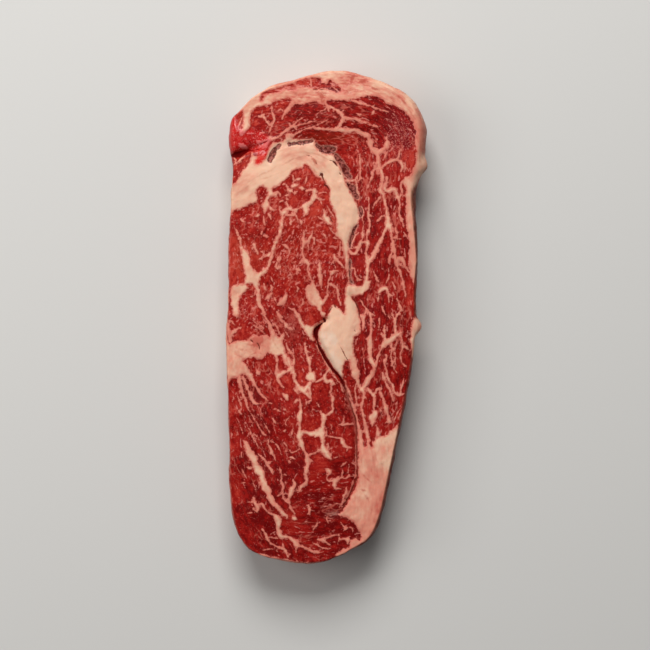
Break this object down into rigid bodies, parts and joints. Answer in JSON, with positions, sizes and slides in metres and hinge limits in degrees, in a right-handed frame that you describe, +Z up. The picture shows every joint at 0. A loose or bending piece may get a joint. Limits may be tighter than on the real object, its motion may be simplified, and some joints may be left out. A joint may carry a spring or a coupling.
{
  "type": "raw beef steak",
  "caption": "Thick boneless rib-eye steak of raw beef lying flat: a long oval slab with domed muscles, parted seams, rounded shoulders and a flat underside.",
  "frame": {"origin": "middle of the flat underside, on the surface the steak lies on", "axes": "+Z up through the thickness to the cut face, +Y along the steak's length to the end with the loose red lobe, +X across it to the side with the lump and wedge of fat"},
  "size_m": [0.0908, 0.223, 0.0281],
  "materials": {
    "meat": "moist raw meat with pale fat"
  },
  "bodies": {
    "root": {"steak": "meat"}
  },
  "joints": []
}
